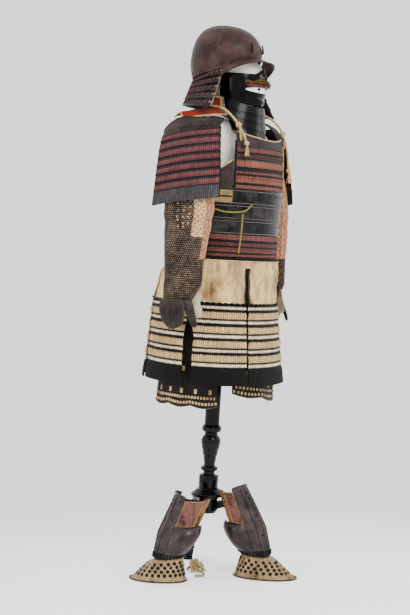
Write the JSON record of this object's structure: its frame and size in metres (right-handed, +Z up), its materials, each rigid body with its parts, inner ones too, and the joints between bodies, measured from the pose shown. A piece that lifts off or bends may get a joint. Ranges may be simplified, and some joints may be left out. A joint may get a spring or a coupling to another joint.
{
  "type": "samurai armour on a dress form stand",
  "caption": "Full samurai armour with helmet, face mask, laced cuirass, skirt panels, arm, thigh, shin and foot guards, worn by a limbless dress form on a turned post and tripod.",
  "frame": {"origin": "on the floor, under the middle of the whole object's box without its cords", "axes": "+Z up; the wearer faces -Y, so the wearer's right is -X"},
  "size_m": [0.5566, 0.47, 1.6537],
  "materials": {
    "black_wood": "gloss lacquer",
    "form_cloth": "smooth white linen",
    "russet_iron": "russet lacquer, satin",
    "black_lacquer": "black lacquer, gloss",
    "dark_laced": "lacquered rows laced in faded silk",
    "red_laced": "lacquered rows laced in faded red silk",
    "cream_laced": "lacquered rows laced in cream silk",
    "deerskin": "creased smoked leather",
    "red_leather": "worn red leather",
    "collar_wool": "red wool with a cream edge",
    "mail_cloth": "iron mail on cloth",
    "indigo_cloth": "dark blue cloth",
    "tan_leather": "tan cloth with iron dots",
    "hair": "bristle",
    "teeth_white": "white lacquer",
    "silk_cord": "braided silk",
    "green_cord": "braided silk",
    "straw": "twisted straw"
  },
  "bodies": {
    "root": {"stand_base": "black_wood", "stand_disc": "black_wood", "stand_post": "black_wood", "form_torso": "form_cloth", "form_head": "form_cloth", "helmet_bowl": "russet_iron", "helmet_brim": "russet_iron", "crest_prong_r": "russet_iron", "crest_prong_l": "russet_iron", "neck_guard": "dark_laced", "face_mask": "black_lacquer", "mask_moustache": "hair", "mask_teeth": "teeth_white", "throat_guard": "black_lacquer", "collar": "collar_wool", "chest_plate": "black_lacquer", "chest_lames": "red_laced", "middle_plates": "black_lacquer", "waist_lames": "red_laced", "back_lames": "red_laced", "back_plates": "black_lacquer", "side_tab": "cream_laced", "waist_yoke": "deerskin", "neck_cord_r": "silk_cord", "neck_cord_l": "silk_cord", "waist_tie": "green_cord", "waist_tie_end": "green_cord", "foot_tie": "straw", "tasset_1": "cream_laced", "tasset_2": "cream_laced", "tasset_3": "cream_laced", "tasset_4": "cream_laced", "tasset_5": "cream_laced", "tasset_6": "cream_laced", "tasset_7": "cream_laced", "shoulder_wing_r": "collar_wool", "shoulder_strap_r": "black_lacquer", "shoulder_guard_plate_r": "black_lacquer", "shoulder_guard_lames_r": "dark_laced", "arm_sleeve_r": "mail_cloth", "hand_plate_r": "black_lacquer", "thumb_plate_r": "black_lacquer", "thigh_guard_r": "indigo_cloth", "shin_plate_r": "russet_iron", "calf_plate_r": "russet_iron", "shin_leather_r": "red_leather", "foot_guard_r": "tan_leather", "shoulder_wing_l": "collar_wool", "shoulder_strap_l": "black_lacquer", "shoulder_guard_plate_l": "black_lacquer", "shoulder_guard_lames_l": "dark_laced", "arm_sleeve_l": "mail_cloth", "hand_plate_l": "black_lacquer", "thumb_plate_l": "black_lacquer", "thigh_guard_l": "indigo_cloth", "shin_plate_l": "russet_iron", "calf_plate_l": "russet_iron", "shin_leather_l": "red_leather", "foot_guard_l": "tan_leather"}
  },
  "joints": []
}
